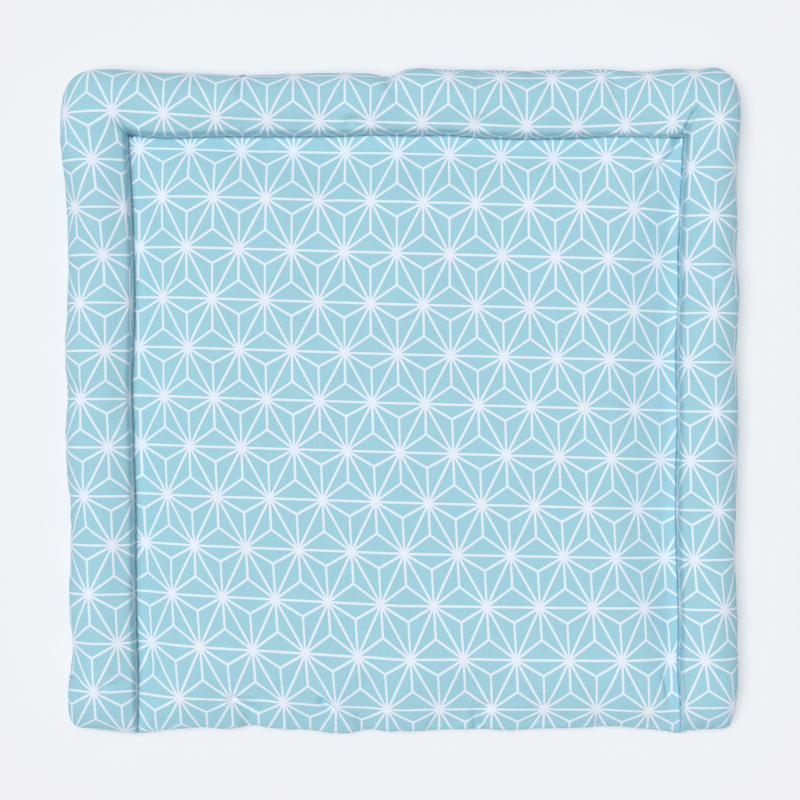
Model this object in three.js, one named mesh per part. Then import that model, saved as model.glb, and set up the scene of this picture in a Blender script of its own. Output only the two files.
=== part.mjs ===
// Changing mat with a raised rim on three sides: one filled cotton cover.
// Sewn channels part a bolster, round the left, the back and the right, from
// the lower lying panel, which runs out to the front edge.
// Millimetres. +X right, +Y to the back, +Z up. The origin is the middle of
// the overall box, on the surface that the mat lies on.
import * as THREE from "three";

// Plan sizes
const HALF_WIDTH = 384.5; // from the middle to the side outlines
const HALF_DEPTH = 378; // from the middle to the front and back outlines
const LEFT_CHANNEL = -307; // sewn line between left bolster and panel
const RIGHT_CHANNEL = 318; // sewn line between right bolster and panel
const BACK_CHANNEL = 303; // sewn line between back bolster and panel
const BACK_CORNER_RADIUS = 38;
const FRONT_CORNER_RADIUS = 11;

// Heights above the surface
const BOLSTER_CREST = 62;
const PANEL_CROWN = 50;
const CHANNEL_TOP = 24; // the cover's upper cloth where it is sewn down
const CHANNEL_LIFT = 20; // the cover's lower cloth where it is sewn up
const SIDE_SEAM = 29; // the cover's outer seam on the bolsters
const FRONT_SEAM = 22; // the same seam along the thinner front edge

// Roundings
const OUTER_FULLNESS = 2.1; // exponent of the bolster's rounding towards the outline
const INNER_FULLNESS = 2.9; // the same towards the channel, where it bulges over the line
const FLANK = 34; // how far the panel rises steeply beside a channel
const FLANK_SHARE = 0.3; // part of the panel's height gained on that flank
const CROWN_RUN = 65; // how far from a channel the panel goes on rising
const END_ROUND = 38; // the front edge's rounding
const END_SHARE = 0.68; // part of the height gained on that rounding
const END_RUN = 165; // how far from the front edge the panel goes on rising
const UNDERSIDE_TUCK = 20; // the resting face ends this far inside the outline
const BOLSTER_GROOVE = 22; // half the groove below a channel, on the bolster's side
const PANEL_GROOVE = 32; // and on the panel's side

// Mesh steps
const BOLSTER_STEPS = 14;
const FLANK_STEPS = 6;
const FLANK_REACH = 72;
const FRONT_STEPS = 9;
const FRONT_REACH = 74;
const WIDTH_STEPS = 16;
const DEPTH_STEPS = 12;

// How far each outline swells past its nominal line, along that outline
const LEFT_OUTLINE = [
  { along: 347, out: 5 },
  { along: 303, out: 6.5 },
  { along: 241, out: 0.2 },
  { along: 166, out: -3 },
  { along: 56, out: 1 },
  { along: -35, out: 0.2 },
  { along: -116, out: -5.6 },
  { along: -288, out: -7.3 },
  { along: -334, out: -2.9 },
  { along: -372, out: -6 },
];
const RIGHT_OUTLINE = [
  { along: 347, out: 6.5 },
  { along: 299, out: 4 },
  { along: 241, out: 1.2 },
  { along: 166, out: 1.2 },
  { along: 138, out: 4 },
  { along: 77, out: 2.1 },
  { along: 0, out: 2.8 },
  { along: -92, out: 1.2 },
  { along: -173, out: -0.7 },
  { along: -300, out: 3.1 },
  { along: -336, out: 2.6 },
  { along: -372, out: -2.5 },
];
const BACK_OUTLINE = [
  { along: 363, out: 5.6 },
  { along: 329, out: 1.1 },
  { along: 313, out: 2.4 },
  { along: 276, out: -0.8 },
  { along: 176, out: 0.8 },
  { along: 81, out: 1.1 },
  { along: 22, out: 2.7 },
  { along: 3, out: 1.1 },
  { along: -14, out: -7 },
  { along: -34, out: -4.2 },
  { along: -72, out: -3 },
  { along: -176, out: -5.6 },
  { along: -281, out: -1.7 },
  { along: -321, out: 1.4 },
];
const FRONT_OUTLINE = [
  { along: 377, out: -0.7 },
  { along: 350, out: 1 },
  { along: 318, out: 5.6 },
  { along: 276, out: 0.6 },
  { along: 233, out: -2.6 },
  { along: 196, out: -0.7 },
  { along: 135, out: 2 },
  { along: 91, out: 1 },
  { along: 46, out: 1.3 },
  { along: 0, out: 3.6 },
  { along: -40, out: 0.4 },
  { along: -54, out: 3.7 },
  { along: -81, out: 5.4 },
  { along: -107, out: 1.9 },
  { along: -178, out: -3.3 },
  { along: -198, out: 0.5 },
  { along: -230, out: -1.4 },
  { along: -287, out: 3.7 },
  { along: -305, out: 5.4 },
  { along: -335, out: 2 },
  { along: -376, out: -2 },
];

// How far each sewn line strays from its nominal place, along that line
const LEFT_STRAY = [
  { along: 308, out: -6.7 },
  { along: 241, out: -2.7 },
  { along: 183, out: -0.4 },
  { along: 114, out: 0.9 },
  { along: 23, out: -1.8 },
  { along: -35, out: -0.4 },
  { along: -116, out: 2 },
  { along: -219, out: 2.5 },
  { along: -311, out: 5.2 },
  { along: -378, out: 4 },
];
const RIGHT_STRAY = [
  { along: 310, out: 8.6 },
  { along: 268, out: 4.8 },
  { along: 204, out: 1.9 },
  { along: 103, out: 0 },
  { along: 65, out: -2 },
  { along: -23, out: -0.6 },
  { along: -126, out: -2.3 },
  { along: -219, out: -0.1 },
  { along: -303, out: -0.1 },
  { along: -345, out: 3.2 },
  { along: -378, out: 4.3 },
];
const BACK_STRAY = [
  { along: 325, out: 1.2 },
  { along: 306, out: -2.1 },
  { along: 214, out: -1.7 },
  { along: 119, out: -2.5 },
  { along: 53, out: 1.3 },
  { along: -34, out: 2.1 },
  { along: -115, out: 0.2 },
  { along: -290, out: 0.2 },
  { along: -307, out: 2.4 },
];

// Soft troughs in the upper cloth: each runs from (x, y) for a length at an
// angle from +X in degrees, and fades out towards its far end
const TROUGHS = [
  { x: -314, y: 307, length: 30, angle: 146, width: 7, depth: 15 }, // left back corner
  { x: 326, y: 304, length: 34, angle: 62, width: 7, depth: 15 }, // right back corner
  { x: -14, y: 376, length: 34, angle: -86, width: 9, depth: 12 }, // notch in the back edge
  { x: -181, y: 351, length: 26, angle: -60, width: 11, depth: 6 }, // dent in the back bolster
  { x: 238, y: 357, length: 26, angle: -80, width: 10, depth: 5 },
  { x: -172, y: -378, length: 36, angle: 84, width: 11, depth: 7 }, // tucks in the front edge
  { x: -44, y: -378, length: 34, angle: 108, width: 11, depth: 6 },
  { x: 86, y: -378, length: 36, angle: 80, width: 12, depth: 6 },
  { x: 231, y: -378, length: 38, angle: 92, width: 12, depth: 7 },
  { x: -384, y: 20, length: 30, angle: -20, width: 11, depth: 5 }, // tuck in the left side
];

const clamp = (value) => Math.min(Math.max(value, 0), 1);
const smooth = (t) => t * t * (3 - 2 * t);

// The smoothly read value of a table at one place along its line.
function read(table, at) {
  const rows = [...table].sort((a, b) => a.along - b.along);
  const next = rows.findIndex((row) => row.along > at);
  if (next === 0) return rows[0].out;
  if (next < 0) return rows[rows.length - 1].out;
  const [before, after] = [rows[next - 1], rows[next]];
  const t = (at - before.along) / (after.along - before.along);
  return THREE.MathUtils.lerp(before.out, after.out, smooth(t));
}

// A round shoulder: 0 with an upright start, 1 with a level end.
function shoulder(t, fullness = 2) {
  return (1 - (1 - clamp(t)) ** fullness) ** (1 / fullness);
}

// A round underside: 1 at a seam, with an upright start, and 0 where it lies flat.
function undercurve(t) {
  return 1 - Math.sqrt(1 - (1 - clamp(t)) ** 2);
}

// A steep flank followed by a long easy rise.
function rise(distance, reach, share, run) {
  const easy = Math.sin((Math.PI / 2) * clamp(distance / run));
  return share * shoulder(distance / reach) + (1 - share) * easy;
}

// The bolster's section: `across` is 0 at the outline and 1 at the channel.
function arch(across, outer, inner, crest) {
  const base = THREE.MathUtils.lerp(outer, inner, across);
  const fullness = across < 0.5 ? OUTER_FULLNESS : INNER_FULLNESS;
  const round = 1 - Math.abs(2 * across - 1) ** fullness;
  return base + (crest - base) * round ** (1 / fullness);
}

// Stations that crowd at both ends of a bolster, from 0 to 1.
function bolsterStations() {
  return Array.from(
    { length: BOLSTER_STEPS + 1 },
    (_, k) => (1 - Math.cos((Math.PI * k) / BOLSTER_STEPS)) / 2,
  );
}

// Stations that crowd at one edge, in mm from it.
function edgeStations(reach, steps) {
  return Array.from(
    { length: steps + 1 },
    (_, k) => reach * (1 - Math.cos((Math.PI / 2) * (k / steps))),
  );
}

// Stations over the panel as shares of its size, crowded towards both edges.
function panelStations(size, start, end, middleSteps) {
  const middle = size - start.at(-1) - end.at(-1);
  const even = Array.from(
    { length: middleSteps - 1 },
    (_, k) => start.at(-1) + (middle * (k + 1)) / middleSteps,
  );
  const far = end.map((d) => size - d).reverse();
  return [...start, ...even, ...far].map((d) => d / size);
}

// Columns run from the left outline to the right one.
function columns() {
  const flank = edgeStations(FLANK_REACH, FLANK_STEPS);
  const width = RIGHT_CHANNEL - LEFT_CHANNEL;
  const panel = panelStations(width, flank, flank, WIDTH_STEPS);
  return [
    ...bolsterStations().slice(0, -1).map((t) => ({ zone: "left", t })),
    ...panel.map((t) => ({ zone: "panel", t })),
    ...bolsterStations().reverse().slice(1).map((t) => ({ zone: "right", t })),
  ];
}

// Rows run from the front outline to the back one.
function rows() {
  const front = edgeStations(FRONT_REACH, FRONT_STEPS);
  const flank = edgeStations(FLANK_REACH, FLANK_STEPS);
  const depth = BACK_CHANNEL + HALF_DEPTH;
  const panel = panelStations(depth, front, flank, DEPTH_STEPS);
  return [
    ...panel.map((t) => ({ zone: "panel", t })),
    ...bolsterStations().reverse().slice(1).map((t) => ({ zone: "back", t })),
  ];
}

// Where a column runs at a given y, and a row at a given x.
function columnAt({ zone, t }, y) {
  const left = LEFT_CHANNEL + read(LEFT_STRAY, y);
  const right = RIGHT_CHANNEL + read(RIGHT_STRAY, y);
  if (zone === "left") {
    return THREE.MathUtils.lerp(-HALF_WIDTH - read(LEFT_OUTLINE, y), left, t);
  }
  if (zone === "right") {
    return THREE.MathUtils.lerp(HALF_WIDTH + read(RIGHT_OUTLINE, y), right, t);
  }
  return THREE.MathUtils.lerp(left, right, t);
}

function rowAt({ zone, t }, x) {
  const channel = BACK_CHANNEL + read(BACK_STRAY, x);
  if (zone === "back") {
    return THREE.MathUtils.lerp(HALF_DEPTH + read(BACK_OUTLINE, x), channel, t);
  }
  return THREE.MathUtils.lerp(-HALF_DEPTH - read(FRONT_OUTLINE, x), channel, t);
}

// Bends a square corner into a round one: distances from the two outlines in,
// and the same distances out.
function roundCorner(fromSide, fromEnd, radius) {
  const p = 1 - fromSide / radius;
  const q = 1 - fromEnd / radius;
  if (p <= 0 || q <= 0) return [fromSide, fromEnd];
  return [
    radius * (1 - p * Math.sqrt(1 - (q * q) / 2)),
    radius * (1 - q * Math.sqrt(1 - (p * p) / 2)),
  ];
}

// How deep the troughs are at a point of the plan.
function troughDepth(x, y) {
  let depth = 0;
  for (const trough of TROUGHS) {
    const angle = THREE.MathUtils.degToRad(trough.angle);
    const along = (x - trough.x) * Math.cos(angle) + (y - trough.y) * Math.sin(angle);
    const aside = (y - trough.y) * Math.cos(angle) - (x - trough.x) * Math.sin(angle);
    const past = Math.max(-along, 0);
    const fade = 1 - smooth(clamp(along / trough.length));
    depth += trough.depth * fade * Math.exp(-(aside ** 2 + past ** 2) / trough.width ** 2);
  }
  return depth;
}

// One place of the cover: its plan position and both cloths' heights.
function place(column, row) {
  const nominalX = columnAt(column, 0);
  const nominalY = rowAt(row, nominalX);
  const left = columnAt({ zone: "left", t: 0 }, nominalY);
  const right = columnAt({ zone: "right", t: 0 }, nominalY);
  const front = rowAt({ zone: "panel", t: 0 }, nominalX);
  const back = rowAt({ zone: "back", t: 0 }, nominalX);
  let x = columnAt(column, nominalY);
  let y = nominalY;
  const fromLeft = x - left;
  const fromRight = right - x;
  const fromFront = y - front;
  const fromBack = back - y;

  const end = rise(fromFront, END_ROUND, END_SHARE, END_RUN);
  const outer = THREE.MathUtils.lerp(FRONT_SEAM, SIDE_SEAM, end);
  const inner = THREE.MathUtils.lerp(FRONT_SEAM, CHANNEL_TOP, end);
  let top;
  let fromGroove;
  if (column.zone === "panel" && row.zone === "panel") {
    const toLeft = x - columnAt({ zone: "panel", t: 0 }, nominalY);
    const toRight = columnAt({ zone: "panel", t: 1 }, nominalY) - x;
    const toBack = rowAt({ zone: "panel", t: 1 }, nominalX) - y;
    const crown = THREE.MathUtils.lerp(FRONT_SEAM, PANEL_CROWN, end);
    const share = [toLeft, toRight, toBack]
      .map((distance) => rise(distance, FLANK, FLANK_SHARE, CROWN_RUN))
      .reduce((a, b) => a * b);
    top = THREE.MathUtils.lerp(inner, crown, share);
    fromGroove = [toLeft, toRight, toBack]
      .map((distance) => clamp(distance / PANEL_GROOVE))
      .reduce((a, b) => a * b);
  } else {
    const across = (column.zone === "panel" ? 1 : column.t) * (row.zone === "panel" ? 1 : row.t);
    const crest = THREE.MathUtils.lerp(FRONT_SEAM, BOLSTER_CREST, end);
    top = arch(across, outer, inner, crest);
    const bolsterWidth = HALF_WIDTH + LEFT_CHANNEL;
    fromGroove = clamp(((1 - across) * bolsterWidth) / BOLSTER_GROOVE);
  }

  const [sideGap, endGap] = [Math.min(fromLeft, fromRight), Math.min(fromFront, fromBack)];
  const radius = fromBack < fromFront ? BACK_CORNER_RADIUS : FRONT_CORNER_RADIUS;
  const [newSide, newEnd] = roundCorner(sideGap, endGap, radius);
  x += (newSide - sideGap) * (fromLeft < fromRight ? 1 : -1);
  y += (newEnd - endGap) * (fromFront < fromBack ? 1 : -1);

  const tucked = clamp(sideGap / UNDERSIDE_TUCK) * clamp(endGap / UNDERSIDE_TUCK);
  const curl = undercurve(tucked);
  const lift = CHANNEL_LIFT - CHANNEL_TOP + inner;
  const bottom = THREE.MathUtils.lerp(lift * undercurve(fromGroove), outer, curl);
  const room = Math.max(top - bottom, 0);
  const dip = Math.min(troughDepth(x, y), 0.6 * room);
  return { x, y, top: top - dip, bottom };
}

// The whole cover as one closed mesh: the upper cloth and the lower cloth
// share the outline's points.
function coverGeometry() {
  const [across, deep] = [columns(), rows()];
  const [lastColumn, lastRow] = [across.length - 1, deep.length - 1];
  const points = [];
  const upper = [];
  const lower = [];
  across.forEach((column, i) => {
    upper.push([]);
    lower.push([]);
    deep.forEach((row, j) => {
      const { x, y, top, bottom } = place(column, row);
      upper[i].push(points.length);
      points.push(new THREE.Vector3(x, y, top));
      const onOutline = i === 0 || j === 0 || i === lastColumn || j === lastRow;
      if (!onOutline) points.push(new THREE.Vector3(x, y, bottom));
      lower[i].push(points.length - 1);
    });
  });

  const faces = [];
  const quad = (a, b, c, d, risingDiagonal) => {
    if (risingDiagonal) faces.push(a, b, c, a, c, d);
    else faces.push(a, b, d, b, c, d);
  };
  for (let i = 0; i < lastColumn; i++) {
    for (let j = 0; j < lastRow; j++) {
      const corners = [[i, j], [i + 1, j], [i + 1, j + 1], [i, j + 1]];
      const rising = i < lastColumn / 2 === j < lastRow / 2;
      const [a, b, c, d] = corners.map(([p, q]) => upper[p][q]);
      quad(a, b, c, d, rising);
      const [e, f, g, h] = corners.map(([p, q]) => lower[p][q]);
      quad(f, e, h, g, !rising);
    }
  }

  const geometry = new THREE.BufferGeometry().setFromPoints(points);
  geometry.setIndex(faces);
  geometry.computeBoundingBox();
  const middle = geometry.boundingBox.getCenter(new THREE.Vector3());
  geometry.translate(-middle.x, -middle.y, -geometry.boundingBox.min.z);
  geometry.computeVertexNormals();
  return geometry;
}

const printedCotton = new THREE.MeshStandardMaterial({
  color: 0xa9d6e2,
  roughness: 0.93,
  metalness: 0,
});

const cover = new THREE.Mesh(coverGeometry(), printedCotton);
cover.name = "filled_cover";

const changingMat = new THREE.Group();
changingMat.add(cover);

export default changingMat;
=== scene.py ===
"""Changing mat with a raised rim on three sides, in star-lattice printed cotton.

One stuffed cover lies on the surface: an upper and a lower cloth that meet in an outer seam.
Sewn channels part a bolster, round the left, the back and the right, from the lying panel.
Metres. +X right, +Y to the back bolster, +Z up. The script runs as it is, or as an add-on.
"""

from collections import namedtuple
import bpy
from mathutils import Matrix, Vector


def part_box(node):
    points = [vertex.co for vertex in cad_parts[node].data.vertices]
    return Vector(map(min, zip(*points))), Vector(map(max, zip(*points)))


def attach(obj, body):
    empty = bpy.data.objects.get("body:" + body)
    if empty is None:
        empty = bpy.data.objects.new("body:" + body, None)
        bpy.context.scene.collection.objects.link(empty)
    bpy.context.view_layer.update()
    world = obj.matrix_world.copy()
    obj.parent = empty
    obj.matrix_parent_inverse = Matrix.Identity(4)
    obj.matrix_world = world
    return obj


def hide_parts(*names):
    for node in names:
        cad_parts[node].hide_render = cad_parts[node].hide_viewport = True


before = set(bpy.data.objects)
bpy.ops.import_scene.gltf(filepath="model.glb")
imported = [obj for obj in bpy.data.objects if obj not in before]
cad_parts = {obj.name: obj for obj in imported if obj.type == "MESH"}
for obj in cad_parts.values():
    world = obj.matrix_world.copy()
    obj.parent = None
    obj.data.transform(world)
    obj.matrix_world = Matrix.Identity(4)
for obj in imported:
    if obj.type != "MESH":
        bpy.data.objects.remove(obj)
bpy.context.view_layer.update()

from types import SimpleNamespace

import bpy
import numpy as np
from bpy.props import FloatProperty, FloatVectorProperty, PointerProperty
from bpy.types import Operator, Panel, PropertyGroup

bl_info = {
    "name": "Changing mat",
    "version": (1, 0, 0),
    "blender": (4, 5, 0),
    "location": "View3D > Sidebar > Changing mat",
    "description": "Makes a stuffed changing mat with a rim on three sides, and a plain stage for it",
    "category": "Add Mesh",
}

MM = 0.001
COVER_LOW, COVER_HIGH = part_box("filled_cover")

# Plan of the cover
HALF_WIDTH = 384.5 * MM
HALF_DEPTH = 379.5 * MM
LEFT_CHANNEL = -307.5 * MM
RIGHT_CHANNEL = 320 * MM
BACK_CHANNEL = 305 * MM
BOLSTER_WIDTH = HALF_WIDTH + LEFT_CHANNEL
BACK_CORNER_RADIUS = 38 * MM
FRONT_CORNER_RADIUS = 9 * MM

# Roundings of the stuffed cloth
OUTER_FULLNESS = 2.1  # exponent of the bolster's rounding on its outer half
INNER_FULLNESS = 13.0  # the same on its inner half, where the wall is steep
INNER_SLOPE = 0.32  # share of its height that the bolster loses towards the channel
FLANK = 22 * MM  # width of the panel's steep rise beside a channel
FLANK_SHARE = 0.14  # share of the height gained on it
CROWN_RUN = 78 * MM  # how far from a channel the panel goes on rising
END_ROUND = 60 * MM  # width of the front edge's rounding
END_SHARE = 0.75  # share of the height gained on it
END_RUN = 150 * MM  # how far from the front edge the height goes on rising
UNDERSIDE_TUCK = 20 * MM  # the underside lies flat from this far inside the outline
BOLSTER_GROOVE = 22 * MM  # width of the groove below a channel, on the bolster's side
PANEL_GROOVE = 32 * MM  # the same on the panel's side

# The back channel's loosely sewn right end, and how much higher the upper cloth stands there
SHALLOW_FROM = 205 * MM
SHALLOW_TO = 306 * MM
SHALLOW_FADE_IN = 40 * MM
SHALLOW_FADE_OUT = 14 * MM
SHALLOW_END = 10 * MM

# Lumps of filling, and gathers beside the channels and the outer seam
LARGE_LUMP = 85 * MM
SMALL_LUMP = 37 * MM
LARGE_SHARE = 0.65
PANEL_SHARE = 0.55  # of the bolsters' lumps
LUMP_FADE = 20 * MM
SEAM_FADE = 12 * MM
CHANNEL_GATHER = 8.5 * MM
CHANNEL_GATHER_REACH = 11 * MM
CHANNEL_PATCH = 60 * MM
EDGE_GATHER = 12 * MM
EDGE_GATHER_REACH = 16 * MM
EDGE_PATCH = 70 * MM
FRONT_GATHER = 1.6  # how much higher the outer seam's gathers stand in the front half
LUMP_GRID = (97, 89)  # random heights before a pattern of lumps repeats

# Limits of creases and ridges, as shares of the cover's thickness, and the thread's pull at the seams
CREASE_LIMIT = 0.6
RIDGE_LIMIT = 0.05
PINCH_WIDTH = 1.5 * MM
PINCH_WAVE = 20 * MM
SEAM_DIP = 1.1 * MM
SEAM_DIP_WIDTH = 2.2 * MM

# The part of the back outer seam through which the cover is stuffed
CLOSING_START = 40 * MM
CLOSING_LENGTH = 150 * MM

# Stitches: the gap between them and how far they dip in, first by machine and then by hand
STITCH_GAP = 0.5 * MM
STITCH_SINK = 0.4 * MM
CLOSING_STITCH = 2.2 * MM
CLOSING_GAP = 2.6 * MM
CLOSING_SINK = 0.2 * MM

# Cloth simulation: spacing of its points, its frames, and how far it may move the cloth
CLOTH_STEP = 9 * MM
CLOTH_FRAMES = 20
CLOTH_CAP = 5 * MM

# Within this distance of the panel's back corners the simulated swelling fades out
CALM_CORNER = 90 * MM

# How the cloth is divided: steps over a bolster, and spacing over the panel
BOLSTER_STEPS = 36
PANEL_STEP = 3.4 * MM
FIRST_STEP = 0.3 * MM
STEP_GROWTH = 0.12

# Rows of the tables below, in millimetres
Swell = namedtuple("Swell", "along out")
Crease = namedtuple("Crease", "x y length angle width depth")
PanelDrift = namedtuple("PanelDrift", "y left middle right")
RimDrift = namedtuple("RimDrift", "along u v")

# How far each outline swells past its nominal line, along that outline
LEFT_OUTLINE = [
    Swell(352, 4), Swell(326, 6), Swell(303, 6.5), Swell(281, 4.5), Swell(241, 0), Swell(166, -3),
    Swell(100, -1.5), Swell(56, 1), Swell(12, -2.5), Swell(-35, 0), Swell(-80, -2), Swell(-116, -5.5),
    Swell(-177, -5.5), Swell(-230, -4.5), Swell(-288, -7.5), Swell(-334, -3), Swell(-360, -2.5),
    Swell(-372, -5),
]
RIGHT_OUTLINE = [
    Swell(352, 5.5), Swell(325, 6), Swell(299, 4), Swell(241, 1), Swell(204, 2), Swell(166, 1),
    Swell(138, 4), Swell(77, 2), Swell(50, 1), Swell(0, 3), Swell(-92, 1), Swell(-140, 0),
    Swell(-173, -0.5), Swell(-225, 1), Swell(-300, 3), Swell(-336, 2.5), Swell(-372, -2.5),
]
BACK_OUTLINE = [
    Swell(363, 5.5), Swell(345, 3), Swell(329, 1), Swell(313, 2.5), Swell(276, -1), Swell(228, 1),
    Swell(196, 1), Swell(176, 0.5), Swell(119, 0), Swell(81, 1), Swell(40, 1.5), Swell(15, 2.5),
    Swell(3, 1), Swell(-14, -7), Swell(-34, -4), Swell(-72, -3), Swell(-127, -4), Swell(-176, -5.5),
    Swell(-230, -3.5), Swell(-281, -1.5), Swell(-321, 1.5),
]
FRONT_OUTLINE = [
    Swell(377, -0.5), Swell(350, 1), Swell(334, 2), Swell(318, 5.5), Swell(303, 3.5), Swell(276, 0.5),
    Swell(233, -2.5), Swell(196, -0.5), Swell(160, 0), Swell(135, 2), Swell(91, 1), Swell(46, 1.5),
    Swell(0, 3.5), Swell(-28, 3), Swell(-40, 0.5), Swell(-54, 3.5), Swell(-81, 5.5), Swell(-107, 2),
    Swell(-150, 0.5), Swell(-178, -3.5), Swell(-198, 0.5), Swell(-230, -1.5), Swell(-259, 0),
    Swell(-287, 3.5), Swell(-305, 5.5), Swell(-335, 2), Swell(-376, -2),
]

# How far each sewn line strays from its nominal place, along that line
LEFT_STRAY = [
    Swell(312, -7), Swell(281, -5), Swell(241, -2.5), Swell(183, -0.5), Swell(114, 1), Swell(60, -0.5),
    Swell(23, -2), Swell(-35, -0.5), Swell(-75, 0.5), Swell(-116, 2), Swell(-219, 2.5), Swell(-265, 3.5),
    Swell(-311, 5), Swell(-345, 4.5), Swell(-378, 3.5),
]
RIGHT_STRAY = [
    Swell(310, 8.5), Swell(292, 6), Swell(268, 5), Swell(241, 3.5), Swell(204, 2), Swell(165, 0.5),
    Swell(125, 1), Swell(103, 0), Swell(65, -2), Swell(-23, -0.5), Swell(-80, -2), Swell(-126, -2.5),
    Swell(-219, 0), Swell(-260, 1), Swell(-303, 0), Swell(-345, 3), Swell(-378, 4.5),
]
BACK_STRAY = [
    Swell(325, 1), Swell(306, -2), Swell(260, -2), Swell(214, -1.5), Swell(170, -2.5), Swell(119, -2.5),
    Swell(88, -1), Swell(53, 1.5), Swell(10, 1), Swell(-34, 2), Swell(-70, 0.5), Swell(-115, 0),
    Swell(-200, 0), Swell(-290, 0), Swell(-307, 2.5),
]

# Soft creases in the upper cloth: each starts at (x, y) and runs, fading out, for a length at an
# angle in degrees from +X. A negative depth is a ridge.
CREASES = [
    Crease(-309, 306, 34, 147, 2.2, 12),
    Crease(324, 307, 26, 66, 2.4, 12),
    Crease(333, 325, 18, 48, 2.4, 8),
    Crease(-14, 378, 34, -86, 5, 14),
    Crease(-5, 352, 18, -75, 6, 4),
    Crease(-182, 374, 42, -88, 3.5, 8),
    Crease(-174, 360, 30, -84, 5, -1.5),
    Crease(237, 371, 32, -37, 3, 8),
    Crease(244, 353, 18, -80, 5, 3.5),
    Crease(150, 376, 12, -65, 6, 4),
    Crease(170, 358, 24, -85, 6, 3),
    Crease(86, 373, 16, -85, 6, 5),
    Crease(92, 316, 14, -80, 6, 4),
    Crease(-62, 345, 14, -60, 7, 3.5),
    Crease(-58, 316, 12, -60, 6, 4),
    Crease(-193, -343, 52, -28, 4, 12),
    Crease(-186, -336, 40, -28, 4.5, -3),
    Crease(-176, -378, 30, 84, 6, 7),
    Crease(-131, -326, 26, 0, 7, 2.5),
    Crease(-90, -346, 52, -45, 3.5, 13),
    Crease(-82, -340, 34, -45, 4, -3),
    Crease(-44, -378, 30, 108, 6, 7),
    Crease(36, -378, 20, 70, 5, 7),
    Crease(90, -380, 36, 104, 4.5, 12),
    Crease(98, -378, 26, 100, 4, -2.5),
    Crease(100, -354, 16, 10, 6, 5),
    Crease(229, -380, 34, 92, 5, 10),
    Crease(304, -314, 44, -82, 3, 8),
    Crease(331, -380, 20, 86, 5, 6),
    Crease(349, -377, 16, 100, 5, 4),
    Crease(-338, -327, 32, 14, 3.5, 9),
    Crease(-384, -318, 22, 10, 4, 5),
    Crease(-384, 20, 30, -20, 6, 6),
]

# How the fabric was cut and pulled: the print's drift over the panel, to the right and to the back,
# in whole millimetres at a few places along y
PRINT_RIGHT = [
    PanelDrift(300, -4, 4, 11),
    PanelDrift(100, -1, 4, 8),
    PanelDrift(-100, -6, -1, 3),
    PanelDrift(-350, -23, -15, -10),
]
PRINT_BACK = [
    PanelDrift(300, 62, 65, 74),
    PanelDrift(100, 58, 66, 72),
    PanelDrift(-100, 49, 57, 64),
    PanelDrift(-280, 44, 59, 60),
    PanelDrift(-350, 47, 65, 64),
]
DRIFT_COLUMNS = (-245 * MM, 0, 245 * MM)
DRIFT_BEYOND = 0.35  # how far it goes on past the outer columns, as a share of their spacing

# The same on the crest of each bolster: along y on the left and right, along x at the back
PRINT_LEFT_RIM = [
    RimDrift(330, -12, 83),
    RimDrift(180, -29, 70),
    RimDrift(0, -34, 56),
    RimDrift(-330, -50, 37),
]
PRINT_RIGHT_RIM = [
    RimDrift(320, 37, 91),
    RimDrift(180, 43, 81),
    RimDrift(0, 40, 71),
    RimDrift(-200, 33, 62),
    RimDrift(-350, 15, 57),
]
PRINT_BACK_RIM = [
    RimDrift(-330, -10, 81),
    RimDrift(-150, -2, 92),
    RimDrift(0, 5, 95),
    RimDrift(200, 14, 100),
    RimDrift(360, 36, 91),
]
PRINT_BLEND = 1.2 * MM  # how far to each side of a sewn line one part's print turns into the next

# The weave, the floor, and the lamp's place and how wide it looks in degrees
THREAD_PITCH = 0.84 * MM
FLOOR_REACH = 12
LAMP_PLACE = (-0.4, 0.04, 2.4)
LAMP_WIDTH = 46


# Sizes and colours that a user would change
def linear(red, green, blue):
    """A colour in 0 to 255 as a linear one."""
    shares = np.array((red, green, blue)) / 255
    curved = ((shares + 0.055) / 1.055) ** 2.4
    return tuple(float(s) for s in np.where(shares <= 0.04045, shares / 12.92, curved))


def length_setting(name, description, default):
    return FloatProperty(name=name, description=description, default=default, unit="LENGTH")


def colour_setting(name, description, default):
    return FloatVectorProperty(name=name, description=description, default=default, subtype="COLOR")


class CoverSizes(PropertyGroup):
    """Heights of the stuffed cover above the surface."""

    crest: length_setting("Bolster crest", "Top of the bolster", COVER_HIGH.z)
    crown: length_setting("Panel crown", "Top of the lying panel before it is blown up", 47.5 * MM)
    channel_top: length_setting("Channel, upper cloth", "Upper cloth beside a sewn line", 31 * MM)
    channel_lift: length_setting("Channel, lower cloth", "Lower cloth below a sewn line", 18 * MM)
    side_seam: length_setting("Side seam", "Outer seam along the bolsters", 29 * MM)
    front_seam: length_setting("Front seam", "Outer seam along the thin front edge", 13 * MM)
    pinch: length_setting("Pinch", "How far the thread pulls the upper cloth down", 8.5 * MM)
    lump: length_setting("Lumps", "Unevenness of the filling", 1.6 * MM)
    gather: length_setting("Gathers", "Height of the small puckers beside the seams", 0.9 * MM)
    fill: FloatProperty(
        name="Fill",
        description="How tightly the cover is stuffed",
        default=0.7,
        subtype="FACTOR",
        min=0,
        max=1,
    )


class PrintSettings(PropertyGroup):
    """The star lattice that is printed on the cotton."""

    pitch: length_setting("Star pitch", "From star to star in a row", 61.3 * MM)
    row: length_setting("Row", "From row to row", 58.7 * MM)
    line: length_setting("Line", "Width of the printed lines", 2.7 * MM)
    ground: colour_setting("Ground", "Colour between the lines", linear(162, 211, 225))
    lines: colour_setting("Lines", "Colour of the lines", linear(233, 240, 251))


class ThreadSizes(PropertyGroup):
    """The sewing thread in the channels and the outer seam."""

    stitch: length_setting("Stitch", "Length of a stitch", 3.2 * MM)
    diameter: length_setting("Diameter", "Thickness of the thread", 0.6 * MM)
    # The thread's dark teal is partly its own colour and partly painted shade: it stands in for the dark
    # shade inside the narrow sewn channels.
    colour: colour_setting("Colour", "Colour of the thread", linear(24, 116, 132))


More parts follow.
